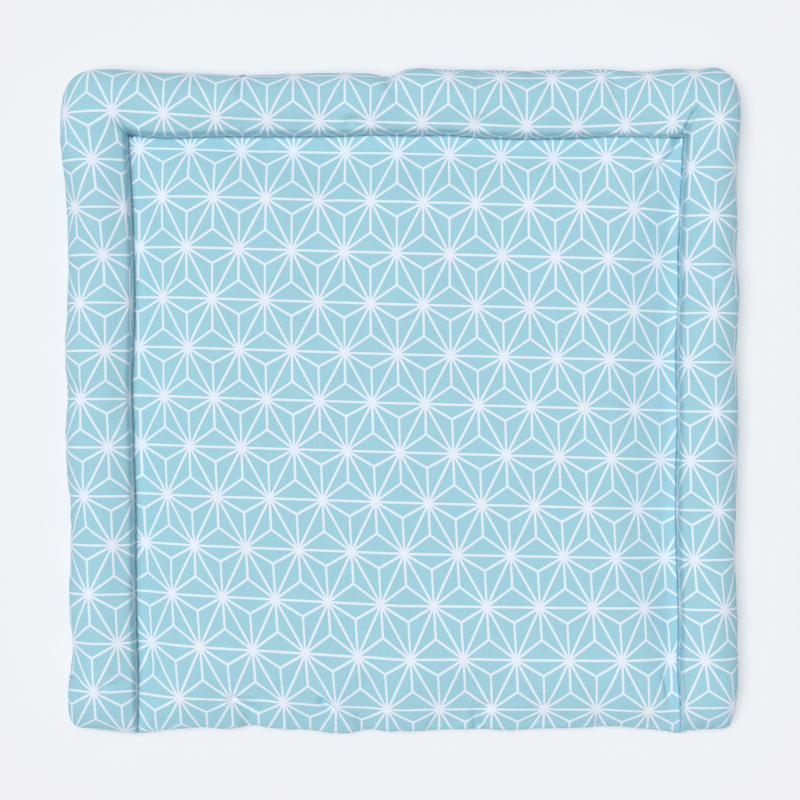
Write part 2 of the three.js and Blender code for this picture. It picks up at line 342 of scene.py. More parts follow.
class StageSettings(PropertyGroup):
    """Camera, floor and lights."""

    camera_height: length_setting("Camera height", "Camera above the surface", 2.2)
    camera_back: length_setting("Camera back", "Camera behind the mat's middle", 2.6 * MM)
    picture_width: length_setting("Picture width", "What the frame takes in at seam height", 0.92)
    floor: colour_setting("Floor", "Colour of the floor", linear(241, 241, 243))
    key: FloatProperty(
        name="Key light", description="Strength of the large soft light", default=2.08, min=0
    )
    fill: FloatProperty(
        name="Fill", description="Strength of the even light all round", default=0.34, min=0
    )


# Shape of the cover
def in_metres(table):
    """A table of millimetres as an array in metres, sorted by its first column."""
    return np.array(sorted(table), float) * MM


def lerp(a, b, t):
    return a + (b - a) * t


def smooth(t):
    t = np.clip(t, 0, 1)
    return t * t * (3 - 2 * t)


def read(table, at, column=1):
    """One column of a table, read at places along its first column by a smooth curve through its rows."""
    along, values = table[:, 0], table[:, column]
    k = np.clip(np.searchsorted(along, at) - 1, 0, len(along) - 2)
    run = along[k + 1] - along[k]
    t = np.clip((at - along[k]) / run, 0, 1)
    slope = np.gradient(values, along)
    bend = t * (1 - t) * ((1 - t) * slope[k] - t * slope[k + 1]) * run
    return lerp(values[k], values[k + 1], smooth(t)) + bend


def shoulder(t, fullness=2.0):
    """A round shoulder: 0 with an upright start, 1 with a level end."""
    return (1 - (1 - np.clip(t, 0, 1)) ** fullness) ** (1 / fullness)


def undercurve(t):
    """A round underside: 1 at a seam, with an upright start, and 0 where it lies flat."""
    return 1 - np.sqrt(1 - (1 - np.clip(t, 0, 1)) ** 2)


def rise(distance, reach, share, run):
    """A steep flank followed by a long easy rise."""
    easy = np.sin(np.pi / 2 * np.clip(distance / run, 0, 1))
    return share * shoulder(distance / reach) + (1 - share) * easy


def arch(across, outer, inner, crest):
    """The bolster's section, where across is 0 at the outline and 1 at the channel."""
    base = lerp(outer, inner, across)
    off_middle = np.abs(2 * across - 1)
    fullness = np.where(across < 0.5, OUTER_FULLNESS, INNER_FULLNESS)
    fall = np.where(across < 0.5, 0, INNER_SLOPE) * off_middle**2
    return base + (crest - base) * (1 - fall) * (1 - off_middle**fullness) ** (1 / fullness)


def lumps(across, along, seed):
    """Smooth seeded unevenness between -1 and 1, with one lump in each unit square."""
    wide, deep = LUMP_GRID
    height = np.random.default_rng(seed).uniform(-1, 1, LUMP_GRID)
    i, j = np.floor(across).astype(int), np.floor(along).astype(int)
    s, t = smooth(across - i), smooth(along - j)
    corner = [[height[(i + a) % wide, (j + b) % deep] for b in (0, 1)] for a in (0, 1)]
    return lerp(lerp(corner[0][0], corner[1][0], s), lerp(corner[0][1], corner[1][1], s), t)


def graded(size):
    """Places over the panel, close together at both of its edges, as shares of its size."""
    steps = [0.0]
    while steps[-1] < size / 2:
        steps.append(steps[-1] + min(PANEL_STEP, FIRST_STEP + STEP_GROWTH * steps[-1]))
    half = np.array(steps) / steps[-1] / 2
    return np.concatenate([half, 1 - half[-2::-1]])


def stations():
    """Columns from the left outline to the right one, and rows from the front outline to the back one.

    Each is a side (-1 left, 0 panel, 1 right or back) and a share: 0 at an outline and 1 at the
    channel on a bolster, 0 to 1 over the panel.
    """
    bolster = (1 - np.cos(np.pi * np.arange(BOLSTER_STEPS + 1) / BOLSTER_STEPS)) / 2
    wide, deep = graded(RIGHT_CHANNEL - LEFT_CHANNEL), graded(BACK_CHANNEL + HALF_DEPTH)
    inward, outward = bolster[:-1], bolster[::-1][1:]
    side = np.repeat((-1, 0, 1), (len(inward), len(wide), len(outward)))
    end = np.repeat((0, 1), (len(deep), len(outward)))
    columns = side[:, None], np.concatenate([inward, wide, outward])[:, None]
    rows = end[None, :], np.concatenate([deep, outward])[None, :]
    return columns, rows


TABLES = SimpleNamespace(
    left=in_metres(LEFT_OUTLINE),
    right=in_metres(RIGHT_OUTLINE),
    back=in_metres(BACK_OUTLINE),
    front=in_metres(FRONT_OUTLINE),
    left_stray=in_metres(LEFT_STRAY),
    right_stray=in_metres(RIGHT_STRAY),
    back_stray=in_metres(BACK_STRAY),
)


def column_at(side, share, y):
    """Where a column runs at a given y."""
    left = LEFT_CHANNEL + read(TABLES.left_stray, y)
    right = RIGHT_CHANNEL + read(TABLES.right_stray, y)
    on_left = lerp(-HALF_WIDTH - read(TABLES.left, y), left, share)
    on_right = lerp(HALF_WIDTH + read(TABLES.right, y), right, share)
    return np.select([side < 0, side > 0], [on_left, on_right], lerp(left, right, share))


def row_at(side, share, x):
    """Where a row runs at a given x."""
    channel = BACK_CHANNEL + read(TABLES.back_stray, x)
    on_back = lerp(HALF_DEPTH + read(TABLES.back, x), channel, share)
    return np.where(side > 0, on_back, lerp(-HALF_DEPTH - read(TABLES.front, x), channel, share))


def round_corners(cloth):
    """Bends the square corners of the plan into round ones."""
    side_gap, end_gap = np.minimum(cloth.to_left, cloth.to_right), np.minimum(cloth.to_front, cloth.to_back)
    radius = np.where(cloth.to_back < cloth.to_front, BACK_CORNER_RADIUS, FRONT_CORNER_RADIUS)
    p, q = 1 - side_gap / radius, 1 - end_gap / radius
    bent = (p > 0) & (q > 0)
    new_side = radius * (1 - p * np.sqrt(np.clip(1 - q * q / 2, 0, 1)))
    new_end = radius * (1 - q * np.sqrt(np.clip(1 - p * p / 2, 0, 1)))
    inward = np.where(cloth.to_left < cloth.to_right, 1, -1)
    cloth.x = cloth.x + np.where(bent, new_side - side_gap, 0) * inward
    inward = np.where(cloth.to_front < cloth.to_back, 1, -1)
    cloth.y = cloth.y + np.where(bent, new_end - end_gap, 0) * inward
    cloth.side_gap, cloth.end_gap = side_gap, end_gap


def lay_out(sizes):
    """The cover's plan, both cloths' heights and every point's distances from seams and channels."""
    (side, share), (end, depth) = stations()
    nominal_x = column_at(side, share, 0.0)
    y = row_at(end, depth, nominal_x)
    x = column_at(side, share, y)
    blank = np.zeros_like(y)
    cloth = SimpleNamespace(x=x, y=y)
    cloth.to_left = x - column_at(blank - 1, blank, y)
    cloth.to_right = column_at(blank + 1, blank, y) - x
    cloth.to_front = y - row_at(blank, blank, nominal_x)
    cloth.to_back = row_at(blank + 1, blank, nominal_x) - y
    past_left = x - column_at(blank, blank, y)
    past_right = column_at(blank, blank + 1, y) - x
    past_back = row_at(blank, blank + 1, nominal_x) - y

    front = rise(cloth.to_front, END_ROUND, END_SHARE, END_RUN)
    outer = lerp(sizes.front_seam, sizes.side_seam, front)
    inner = lerp(sizes.front_seam, sizes.channel_top, front)
    crown = lerp(sizes.front_seam, sizes.crown, front)
    crest = lerp(sizes.front_seam, sizes.crest, front)

    along_back = (past_back < past_left) & (past_back < past_right)
    begun = smooth((x - SHALLOW_FROM) / SHALLOW_FADE_IN)
    ended = smooth((x - SHALLOW_TO) / SHALLOW_FADE_OUT)
    cloth.shallow = np.where(along_back, begun * (1 - ended), 0)
    inner = inner + SHALLOW_END * cloth.shallow
    gaps = (past_left, past_right, past_back)
    swell = np.prod([rise(gap, FLANK, FLANK_SHARE, CROWN_RUN) for gap in gaps], axis=0)
    flat = np.prod([np.clip(gap / PANEL_GROOVE, 0, 1) for gap in gaps], axis=0)
    across = np.where(side == 0, 1, share) * np.where(end == 0, 1, depth)
    on_panel = (side == 0) & (end == 0)
    top = np.where(on_panel, lerp(inner, crown, swell), arch(across, outer, inner, crest))
    groove = np.where(on_panel, flat, np.clip((1 - across) * BOLSTER_WIDTH / BOLSTER_GROOVE, 0, 1))

    round_corners(cloth)
    tucked = np.clip(cloth.side_gap / UNDERSIDE_TUCK, 0, 1) * np.clip(cloth.end_gap / UNDERSIDE_TUCK, 0, 1)
    lift = sizes.channel_lift - sizes.channel_top + inner
    cloth.bottom = lerp(lift * undercurve(groove), outer, undercurve(tucked))
    cloth.top = top
    cloth.seam = outer
    cloth.side, cloth.end = side + 0 * blank, end + 0 * blank
    cloth.from_channel = np.where(on_panel, np.minimum.reduce(gaps), (1 - across) * BOLSTER_WIDTH)
    cloth.past_left, cloth.past_right, cloth.past_back = gaps
    cloth.front = front
    return cloth


# The print's place on the cloth
def slack(along, height, axis, middle):
    """How much longer the cloth is than its plan, from one line of the grid outwards."""
    plan = np.abs(np.diff(along, axis=axis))
    extra = np.cumsum(np.hypot(plan, np.diff(height, axis=axis)) - plan, axis=axis)
    extra = np.concatenate([np.zeros_like(np.take(extra, [0], axis=axis)), extra], axis=axis)
    return extra - np.take(extra, [middle], axis=axis)


def panel_drift(table, x, y):
    """The print's drift over the panel, read along y in each column of the table and then across."""
    columns = np.array([read(table, y, k) for k in range(1, 1 + len(DRIFT_COLUMNS))])
    places = np.array(DRIFT_COLUMNS)
    k = np.clip(np.searchsorted(places, x) - 1, 0, len(places) - 2)
    t = (x - places[k]) / (places[k + 1] - places[k])
    before = np.take_along_axis(columns, k[None], 0)[0]
    after = np.take_along_axis(columns, k[None] + 1, 0)[0]
    return lerp(before, after, np.clip(t, -DRIFT_BEYOND, 1 + DRIFT_BEYOND))


def print_places(cloth):
    """Where each point of the upper cloth lies on the printed fabric, in metres of fabric."""
    x, y, top = cloth.x, cloth.y, cloth.top
    middle_column = int(np.argmin(np.abs(x[:, 0])))
    middle_row = int(np.argmin(np.abs(y[middle_column])))
    crest_step = BOLSTER_STEPS // 2
    last_column, last_row = x.shape[0] - 1, x.shape[1] - 1
    level_u = slack(x, top, 0, middle_column)
    level_v = slack(y, top, 1, middle_row)
    right, back = in_metres(PRINT_RIGHT), in_metres(PRINT_BACK)
    left_rim, right_rim = in_metres(PRINT_LEFT_RIM), in_metres(PRINT_RIGHT_RIM)
    back_rim = in_metres(PRINT_BACK_RIM)

    panel_u = level_u[:, [middle_row]]
    panel_v = level_v[[middle_column]]
    zones = [
        (panel_u + panel_drift(right, x, y), panel_v + panel_drift(back, x, y)),
        (slack(x, top, 0, crest_step) + read(left_rim, y, 1), level_v + read(left_rim, y, 2)),
        (
            slack(x, top, 0, last_column - crest_step) + read(right_rim, y, 1),
            level_v + read(right_rim, y, 2),
        ),
        (level_u + read(back_rim, x, 1), slack(y, top, 1, last_row - crest_step) + read(back_rim, x, 2)),
    ]
    beyond = -cloth.past_left, -cloth.past_right, -cloth.past_back
    on_left, on_right, on_back = (smooth(0.5 + gap / PRINT_BLEND / 2) for gap in beyond)
    aside = np.maximum(np.maximum(beyond[0], beyond[1]), 0)
    to_side = smooth(aside / np.maximum(aside + np.maximum(beyond[2], 0), 1e-9))
    side_share = 1 - on_back + on_back * to_side
    on_side = on_left + on_right
    shares = [
        (1 - on_side) * (1 - on_back),
        on_left * side_share,
        on_right * side_share,
        on_back * (1 - on_side * to_side),
    ]
    total = sum(shares)
    u = x + sum(share * zone[0] for share, zone in zip(shares, zones)) / total
    v = y + sum(share * zone[1] for share, zone in zip(shares, zones)) / total
    return u, v


def underside_places(cloth):
    """The same for the lower cloth, which is cut from the same fabric with no drift."""
    middle = cloth.x.shape[0] // 2
    u = cloth.x + slack(cloth.x, cloth.bottom, 0, middle)
    v = cloth.y + slack(cloth.y, cloth.bottom, 1, cloth.x.shape[1] // 2)
    return -u, v


def add_object(name, data):
    """A new object in the scene."""
    added = bpy.data.objects.new(name, data)
    bpy.context.scene.collection.objects.link(added)
    return added


# Cloth simulation
def spread_out(places, kept):
    """Indices of stations at least a simulation step apart, always with the kept ones."""
    chosen = [0]
    for i in range(1, len(places)):
        ahead = min(k for k in kept if k >= i)
        far = abs(places[i] - places[chosen[-1]]) >= CLOTH_STEP
        room = abs(places[ahead] - places[i]) >= 0.6 * CLOTH_STEP
        if i == ahead or (far and room):
            chosen.append(i)
    return np.array(chosen)


def refine(values, coarse, places):
    """Values at the coarse stations of the first axis, read at every station's place between them."""
    knots = places[coarse]
    k = np.clip(np.searchsorted(knots, places) - 1, 0, len(knots) - 2)
    run = (knots[k + 1] - knots[k]).reshape(-1, 1, 1)
    t = (places - knots[k]).reshape(-1, 1, 1) / run
    slope = np.gradient(values, knots, axis=0)
    bend = t * (1 - t) * ((1 - t) * slope[k] - t * slope[k + 1]) * run
    return lerp(values[k], values[k + 1], smooth(t)) + bend


def inflate(cloth, upper, lower):
    """Blows up a coarse copy of the cover between its pinned seams; returns the upper cloth's movement."""
    columns, rows = upper.shape[:2]
    middle_column, middle_row = columns // 2, rows // 2
    keep_columns = (BOLSTER_STEPS, columns - 1 - BOLSTER_STEPS, columns - 1)
    keep_rows = (rows - 1 - BOLSTER_STEPS, rows - 1)
    across, along = cloth.x[:, middle_row], cloth.y[middle_column]
    at_columns = spread_out(across, keep_columns)
    at_rows = spread_out(along, keep_rows)
    grid = np.ix_(at_columns, at_rows)
    wide, deep = len(at_columns), len(at_rows)
    top_at = np.arange(wide * deep).reshape(wide, deep)
    bottom_at = top_at.copy()
    bottom_at[1:-1, 1:-1] += wide * deep
    points = np.concatenate([upper[grid].reshape(-1, 3), lower[grid].reshape(-1, 3)])
    faces = []
    for i in range(wide - 1):
        for j in range(deep - 1):
            ring = ((i, j), (i + 1, j), (i + 1, j + 1), (i, j + 1))
            faces.append([int(top_at[c]) for c in ring])
            faces.append([int(bottom_at[c]) for c in reversed(ring)])
    used = sorted({v for face in faces for v in face})
    renumbered = {v: n for n, v in enumerate(used)}
    mesh = bpy.data.meshes.new("cloth_run")
    mesh.from_pydata(points[used].tolist(), [], [[renumbered[v] for v in face] for face in faces])
    runner = add_object("cloth_run", mesh)

    held = np.zeros((wide, deep), bool)
    held[[0, -1]] = held[:, [0, -1]] = True
    last_row = int(np.searchsorted(at_rows, keep_rows[0]))
    for column in keep_columns[:2]:
        held[int(np.searchsorted(at_columns, column)), : last_row + 1] = True
    first, last = (int(np.searchsorted(at_columns, column)) for column in keep_columns[:2])
    held[first : last + 1, last_row] = True
    pins = runner.vertex_groups.new(name="pins")
    held_points = set(top_at[held].tolist()) | set(bottom_at[1:-1, 1:-1].ravel().tolist())
    pins.add([renumbered[v] for v in held_points if v in renumbered], 1.0, "REPLACE")

    modifier = runner.modifiers.new("cloth", "CLOTH")
    settings = modifier.settings
    settings.vertex_group_mass = "pins"
    settings.quality = 6
    settings.mass = 0.25
    settings.tension_stiffness = settings.compression_stiffness = 12
    settings.bending_stiffness = 2.5
    settings.use_pressure = True
    settings.uniform_pressure_force = 4
    settings.shrink_min = settings.shrink_max = -0.005
    settings.effector_weights.gravity = 0
    modifier.point_cache.frame_start, modifier.point_cache.frame_end = 1, CLOTH_FRAMES
    for frame_number in range(1, CLOTH_FRAMES + 1):
        bpy.context.scene.frame_set(frame_number)
    blown = runner.evaluated_get(bpy.context.evaluated_depsgraph_get())
    after = np.empty(len(blown.data.vertices) * 3, np.float32)
    blown.data.vertices.foreach_get("co", after)
    moved = after.reshape(-1, 3)[: wide * deep] - points[: wide * deep]
    bpy.data.objects.remove(runner)
    bpy.data.meshes.remove(mesh)
    bpy.context.scene.frame_set(1)

    length = np.linalg.norm(moved, axis=1, keepdims=True)
    moved *= CLOTH_CAP * np.tanh(length / CLOTH_CAP) / np.maximum(length, 1e-9)
    moved = moved.reshape(wide, deep, 3)
    moved = refine(moved, at_columns, across)
    moved = refine(moved.transpose(1, 0, 2), at_rows, along).transpose(1, 0, 2)
    side_gap = np.minimum(np.abs(cloth.past_left), np.abs(cloth.past_right))
    return moved * smooth(np.hypot(side_gap, cloth.past_back) / CALM_CORNER)[..., None]


# Small folds
def crease_depth(x, y):
    """How deep the soft creases are at points of the plan."""
    depth = np.zeros_like(x)
    for crease in CREASES:
        angle = np.radians(crease.angle)
        from_x, from_y = x - crease.x * MM, y - crease.y * MM
        along = from_x * np.cos(angle) + from_y * np.sin(angle)
        aside = from_y * np.cos(angle) - from_x * np.sin(angle)
        past = np.maximum(-along, 0)
        fade = 1 - smooth(along / (crease.length * MM))
        depth += crease.depth * MM * fade * np.exp(-(aside**2 + past**2) / (crease.width * MM) ** 2)
    return depth


def normals(x, y, z):
    """Unit normals of a grid of points."""
    points = np.stack([x, y, z], -1)
    across, along = np.gradient(points, axis=0), np.gradient(points, axis=1)
    normal = np.cross(across, along)
    return normal / np.maximum(np.linalg.norm(normal, axis=-1, keepdims=True), 1e-12)


def unevenness(cloth, sizes):
    """How far lumps of filling and gathers at the seams stand out from the upper cloth's smooth shape."""
    x, y = cloth.x, cloth.y
    edge = np.minimum(cloth.side_gap, cloth.end_gap)
    large = lumps(x / LARGE_LUMP + 9, y / LARGE_LUMP + 7, 3)
    small = lumps(x / SMALL_LUMP + 3, y / SMALL_LUMP + 5, 4)
    calm = smooth(cloth.from_channel / LUMP_FADE) * smooth(edge / SEAM_FADE)
    stretch = np.where(cloth.side == 0, PANEL_SHARE, 1.0)
    swell = sizes.lump * lerp(small, large, LARGE_SHARE) * calm * stretch

    beside = np.exp(-cloth.from_channel / CHANNEL_GATHER_REACH)
    along = np.where(np.minimum(cloth.past_left, cloth.past_right) < cloth.past_back, y, x)
    strip = cloth.from_channel / (40 * MM) + 3 * cloth.side + 5 * cloth.end + 20
    ripple = lumps(along / CHANNEL_GATHER + 11, strip, 5)
    patch = 0.5 + 0.5 * lumps(along / CHANNEL_PATCH + 5, along * 0 + 3.5 + cloth.side, 6)
    swell += sizes.gather * ripple * patch * beside * smooth(cloth.from_channel / (4 * MM))

    rim = np.where(cloth.side_gap < cloth.end_gap, y, x)
    ripple = lumps(rim / EDGE_GATHER + 31, edge / (50 * MM) + 17, 7)
    patch = 0.35 + 0.65 * np.abs(lumps(rim / EDGE_PATCH + 2, rim * 0 + 0.5, 8))
    at_front = np.where(cloth.to_front < cloth.to_back, FRONT_GATHER, 1.0)
    swell += sizes.gather * at_front * ripple * patch * np.exp(-edge / EDGE_GATHER_REACH)
    return swell


def pinch_strength(cloth):
    """How hard the thread pulls the cloth down along the channels: least at the back on the right."""
    uneven = 0.85 + 0.15 * lumps((cloth.x + cloth.y) / PINCH_WAVE + 40, cloth.x * 0 + 0.5, 9)
    return uneven * (1 - 0.75 * cloth.shallow)


def fold(cloth, sizes):
    """Adds creases, the thread's pinch and the unevenness to the upper cloth, and returns its points."""
    x, y, top = cloth.x, cloth.y, cloth.top
    room = np.maximum(top - cloth.bottom, 0)
    top = top - np.clip(crease_depth(x, y), -RIDGE_LIMIT * room, CREASE_LIMIT * room)
    pull = np.exp(-((cloth.from_channel / PINCH_WIDTH) ** 2)) * cloth.front
    top = top - sizes.pinch * pull * pinch_strength(cloth)
    swell = unevenness(cloth, sizes)
    edge = np.hypot(np.minimum(cloth.side_gap, cloth.end_gap), top - cloth.seam)
    swell -= SEAM_DIP * np.exp(-((edge / SEAM_DIP_WIDTH) ** 2))
    return np.stack([x, y, top], -1) + normals(x, y, top) * swell[..., None]


def sewn_lines(upper):
    """The sewn channels, and the part of the outer seam that is closed by hand after stuffing."""
    last_column, last_row = upper.shape[0] - 1, upper.shape[1] - 1
    left, right, back = BOLSTER_STEPS, last_column - BOLSTER_STEPS, last_row - BOLSTER_STEPS
    edge = upper[:, last_row]
    closing = (edge[:, 0] > CLOSING_START) & (edge[:, 0] < CLOSING_START + CLOSING_LENGTH)
    return {
        "left": upper[left, 2 : back + 1],
        "right": upper[right, 2 : back + 1],
        "back": upper[left : right + 1, back],
        "closing": edge[closing],
    }


# Meshes
def cover_mesh(upper, lower, upper_uv, lower_uv):
    """One closed mesh: the upper cloth on every line of the grid, the lower on every second one."""
    columns, rows = upper.shape[:2]
    upper_at = np.arange(columns * rows).reshape(columns, rows)
    lower_at = upper_at[::2, ::2].copy()
    inside = lower[2:-2:2, 2:-2:2]
    numbers = np.arange(inside.shape[0] * inside.shape[1]).reshape(inside.shape[:2])
    lower_at[1:-1, 1:-1] = columns * rows + numbers
    points = np.concatenate([upper.reshape(-1, 3), inside.reshape(-1, 3)])

    def quads(at):
        return np.stack([at[:-1, :-1], at[1:, :-1], at[1:, 1:], at[:-1, 1:]], -1).reshape(-1, 4)

    faces = quads(upper_at).tolist()
    places = [[upper_uv[c // rows, c % rows] for c in face] for face in faces]
    last_column, last_row = lower_at.shape[0] - 2, lower_at.shape[1] - 2
    for i in range(last_column + 1):
        for j in range(last_row + 1):
            ring = [(2 * i, 2 * j), (2 * i, 2 * j + 2), (2 * i + 2, 2 * j + 2), (2 * i + 2, 2 * j)]
            if i == 0:
                ring.insert(1, (0, 2 * j + 1))
            if j == last_row:
                ring.insert(ring.index((2 * i, 2 * j + 2)) + 1, (2 * i + 1, rows - 1))
            if i == last_column:
                ring.insert(ring.index((2 * i + 2, 2 * j + 2)) + 1, (columns - 1, 2 * j + 1))
            if j == 0:
                ring.append((2 * i + 1, 0))
            face = [
                upper_at[c, r] if c in (0, columns - 1) or r in (0, rows - 1) else lower_at[c // 2, r // 2]
                for c, r in ring
            ]
            faces.append(face)
            places.append([lower_uv[c, r] for c, r in ring])

    mesh = bpy.data.meshes.new("stuffed_cover")
    mesh.from_pydata(points.tolist(), [], faces)
    layer = mesh.uv_layers.new(name="print")
    layer.data.foreach_set("uv", np.array([uv for face in places for uv in face], np.float32).ravel())
    mesh.shade_smooth()
    mesh.validate()
    return mesh


def stitched(line, length, gap, sink):
    """Starts and ends of the stitches along a line of points, which dip into the cloth between them."""
    steps = np.linalg.norm(np.diff(line, axis=0), axis=1)
    walked = np.concatenate([[0], np.cumsum(steps)])
    starts = np.arange(gap, walked[-1] - length, length + gap)

    def at(place):
        return np.stack([np.interp(place, walked, line[:, k]) for k in range(3)], -1)

    return at(starts), at(starts + length), sink


def thread_mesh(name, runs, diameter):
    """Short six-sided threads, thin where they enter the cloth."""
    sides = 6
    # Each ring of a thread: its place along the stitch, and its share of the thickness
    rings = ((0, 0.45), (0.2, 1), (0.8, 1), (1, 0.45))
    points, faces = [], []
    for starts, ends, sink in runs:
        for start, end in zip(starts, ends):
            first = len(points)
            forward = (end - start) / np.linalg.norm(end - start)
            aside = np.cross(forward, (0, 0, 1))
            aside /= np.linalg.norm(aside)
            up = np.cross(aside, forward)
            for place, size in rings:
                middle = lerp(start, end, place) - up * sink * (1 - size)
                for k in range(sides):
                    turn = 2 * np.pi * k / sides
                    points.append(middle + (aside * np.cos(turn) + up * np.sin(turn)) * size * diameter / 2)
            for ring in range(len(rings) - 1):
                for k in range(sides):
                    a, b = first + ring * sides + k, first + ring * sides + (k + 1) % sides
                    faces.append((a, b, b + sides, a + sides))
            faces.append(tuple(first + k for k in reversed(range(sides))))
            faces.append(tuple(first + (len(rings) - 1) * sides + k for k in range(sides)))
    mesh = bpy.data.meshes.new(name)
    mesh.from_pydata([tuple(map(float, point)) for point in points], [], faces)
    mesh.shade_smooth()
    return mesh


def add_piece(name, mesh, material):
    """A piece of the mat that rides on the frame."""
    piece = add_object(name, mesh)
    piece.data.materials.append(material)
    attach(piece, "root")
    return piece


# Materials
class Wire:
    """An output in a node tree, which sums, products and comparisons extend."""

    def __init__(self, tree, socket):
        self.tree = tree
        self.socket = socket

    def math(self, operation, *others):
        node = self.tree.nodes.new("ShaderNodeMath")
        node.operation = operation
        for slot, value in zip(node.inputs, (self, *others)):
            plug(self.tree, slot, value)
        return Wire(self.tree, node.outputs[0])

    def __add__(self, other):
        return self.math("ADD", other)

    def __sub__(self, other):
        return self.math("SUBTRACT", other)

    def __mul__(self, other):
        return self.math("MULTIPLY", other)

    def __truediv__(self, other):
        return self.math("DIVIDE", other)

    def __gt__(self, other):
        return self.math("GREATER_THAN", other)

    def flipped(self):
        """One minus this."""
        return self.math("MULTIPLY_ADD", -1, 1)

    def either(self, when_one, when_zero):
        """One value where this is 1 and another where it is 0."""
        return self * (when_one - when_zero) + when_zero


def plug(tree, slot, value):
    """Joins a wire to an input, or sets the input to a number."""
    if isinstance(value, Wire):
        tree.links.new(value.socket, slot)
    else:
        slot.default_value = value


def plug_all(tree, node, inputs):
    for name, value in inputs.items():
        plug(tree, node.inputs[name], value)


def add_node(tree, kind, inputs=None, output=0, **settings):
    """A node with its settings and inputs, and the wire from one of its outputs."""
    node = tree.nodes.new(kind)
    for name, value in settings.items():
        setattr(node, name, value)
    plug_all(tree, node, inputs or {})
    return Wire(tree, node.outputs[output])


def mixed_colour(tree, factor, first, second):
    """A colour between two others."""
    inputs = {"Factor": factor, "A": (*first, 1), "B": (*second, 1)}
    return add_node(tree, "ShaderNodeMix", inputs, output=2, data_type="RGBA")


def new_material(name):
    """An empty material with its Principled shader."""
    material = bpy.data.materials.new(name)
    material.use_nodes = True
    tree = material.node_tree
    return material, tree, tree.nodes["Principled BSDF"]


def fabric_place(tree):
    """The two wires of the place on the fabric, in metres."""
    place = tree.nodes.new("ShaderNodeUVMap")
    place.uv_map = "print"
    parts = tree.nodes.new("ShaderNodeSeparateXYZ")
    tree.links.new(place.outputs[0], parts.inputs[0])
    return place.outputs[0], Wire(tree, parts.outputs[0]), Wire(tree, parts.outputs[1])


def fabric_noise(tree, place, stretch, detail=2):
    """Noise from -0.5 to 0.5 over the fabric, with so many waves a metre along each thread direction."""
    scaled = add_node(tree, "ShaderNodeMapping", {"Vector": Wire(tree, place), "Scale": (*stretch, 1)})
    inputs = {"Vector": scaled, "Scale": 1.0, "Detail": detail}
    return add_node(tree, "ShaderNodeTexNoise", inputs, noise_dimensions="2D") - 0.5


def star_lattice(u, v, settings):
    """Distance in millimetres from the nearest printed line of the star lattice.

    Each cell of a slanted grid holds two triangles. Their sides are lines, and a third set of
    lines joins each triangle's middle to its corners, so that twelve lines meet in each star.
    """
    slant = settings.row / np.hypot(settings.row, settings.pitch / 2)
    side_height = settings.pitch * slant / MM
    row_height = settings.row / MM
    j = v / settings.row
    i = u / settings.pitch + j * 0.5
    i, j = i.math("FRACT"), j.math("FRACT")
    high, low = i.math("MAXIMUM", j), i.math("MINIMUM", j)
    first, middle, last = high.flipped(), high - low, low
    lower_triangle = i > j
    sides = (first * lower_triangle.either(side_height, row_height)).math("MINIMUM", middle * side_height)
    sides = sides.math("MINIMUM", last * lower_triangle.either(row_height, side_height))

    # Where each triangle's middle lies between its corners, in the lower one and in the upper one
    first_share = lower_triangle.either(0.31, 0.30)
    middle_share = lower_triangle.either(0.31, 0.35)
    last_share = lower_triangle.either(0.38, 0.35)
    # Millimetres for each unit of a difference in shares, and how fast a line ends past the middle
    spread, cut = 97.0, 60.0
    nearest = sides
    for near, near_share, a, a_share, b, b_share in (
        (first, first_share, middle, middle_share, last, last_share),
        (middle, middle_share, last, last_share, first, first_share),
        (last, last_share, first, first_share, middle, middle_share),
    ):
        distance = (a * b_share - b * a_share).math("ABSOLUTE") * spread
        beyond = (near_share - near).math("MAXIMUM", 0.0) * cut
        nearest = nearest.math("MINIMUM", distance + beyond)
    return nearest


def cloth_relief(tree, place, u, v, slubs):
    """The normal of the softly rumpled plain weave."""
    threads = 2 * np.pi / THREAD_PITCH
    weave = (u * threads).math("SINE") * (v * threads).math("SINE") + slubs * 5.0
    rumple = fabric_noise(tree, place, (38, 52), 3)
    under = add_node(tree, "ShaderNodeBump", {"Strength": 0.6, "Distance": 1.6 * MM, "Height": rumple})
    over = {"Strength": 0.4, "Distance": 0.07 * MM, "Height": weave, "Normal": under}
    return add_node(tree, "ShaderNodeBump", over)


def printed_cotton(settings):
    """Plain-weave cotton with the white star lattice on an aqua ground."""
    material, tree, shader = new_material("printed_cotton")
    place, u, v = fabric_place(tree)
    ragged = fabric_noise(tree, place, (900, 900), 1) * 0.35
    distance = star_lattice(u, v, settings) + ragged
    half, soft = settings.line / MM / 2, 0.35
    edge = {"Value": distance, "From Min": half + soft, "From Max": half - soft}
    white = add_node(tree, "ShaderNodeMapRange", {**edge, "To Min": 0.0, "To Max": 1.0})
    colour = mixed_colour(tree, white, settings.ground, settings.lines)

    slubs = fabric_noise(tree, place, (1100, 60)) * 0.11
    weft = fabric_noise(tree, place, (70, 900)) * 0.07
    mottle = fabric_noise(tree, place, (14, 14), 3) * 0.05
    shade = slubs + weft + mottle + 1.0
    shaded = add_node(tree, "ShaderNodeVectorMath", {"Vector": colour, "Scale": shade}, operation="SCALE")
    plug_all(tree, shader, {"Base Color": shaded, "Normal": cloth_relief(tree, place, u, v, slubs)})
    plug_all(tree, shader, {"Roughness": 0.9, "Specular IOR Level": 0.15})
    plug_all(tree, shader, {"Sheen Weight": 0.04, "Sheen Roughness": 0.5})
    return material


def mottled(name, noise, darker, lighter, look):
    """A plain material whose colour wanders between two close ones."""
    material, tree, shader = new_material(name)
    place = add_node(tree, "ShaderNodeTexCoord", output=3)
    factor = add_node(tree, "ShaderNodeTexNoise", {"Vector": place, **noise})
    plug_all(tree, shader, {"Base Color": mixed_colour(tree, factor, darker, lighter), **look})
    return material


